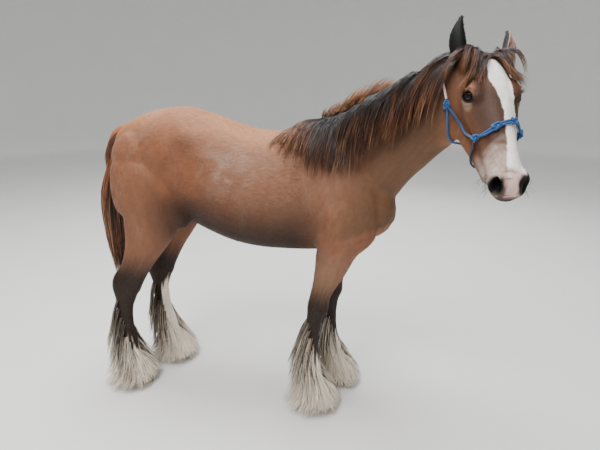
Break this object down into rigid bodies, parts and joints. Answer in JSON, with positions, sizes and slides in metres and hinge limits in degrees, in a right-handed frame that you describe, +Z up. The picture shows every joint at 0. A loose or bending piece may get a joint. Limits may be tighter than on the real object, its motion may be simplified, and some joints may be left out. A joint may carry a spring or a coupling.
{
  "type": "gypsy vanner horse",
  "caption": "Standing young gypsy vanner horse with its head turned to its right, a bay coat, a long dark mane, pale leg feather and a rope halter.",
  "frame": {"origin": "bottom centre of the whole model's box, on the floor under the horse", "axes": "+X forward along the body from croup to chest, +Y to the horse's left, +Z up"},
  "size_m": [1.7952, 0.822, 1.6639],
  "materials": {
    "bay_coat": "short bay coat with a soft sheen",
    "dark_hair": "long, nearly black hair",
    "feather_hair": "cream feather over a dark lower leg",
    "eye": "wet dark brown eye",
    "hoof": "dull pale horn",
    "halter_rope": "bright blue braided rope"
  },
  "bodies": {
    "root": {"ear_left": "dark_hair", "ear_right": "dark_hair", "eye_left": "eye", "eye_right": "eye", "fore_left_lower": "feather_hair", "fore_left_upper": "bay_coat", "fore_right_lower": "feather_hair", "fore_right_upper": "bay_coat", "halter_cheek_left": "halter_rope", "halter_cheek_right": "halter_rope", "halter_chin": "halter_rope", "halter_crown": "halter_rope", "halter_noseband": "halter_rope", "head": "bay_coat", "hind_left_lower": "feather_hair", "hind_left_upper": "bay_coat", "hind_right_lower": "feather_hair", "hind_right_upper": "bay_coat", "hoof_fore_left": "hoof", "hoof_fore_right": "hoof", "hoof_hind_left": "hoof", "hoof_hind_right": "hoof", "neck": "bay_coat", "tail": "dark_hair", "torso": "bay_coat"}
  },
  "joints": []
}
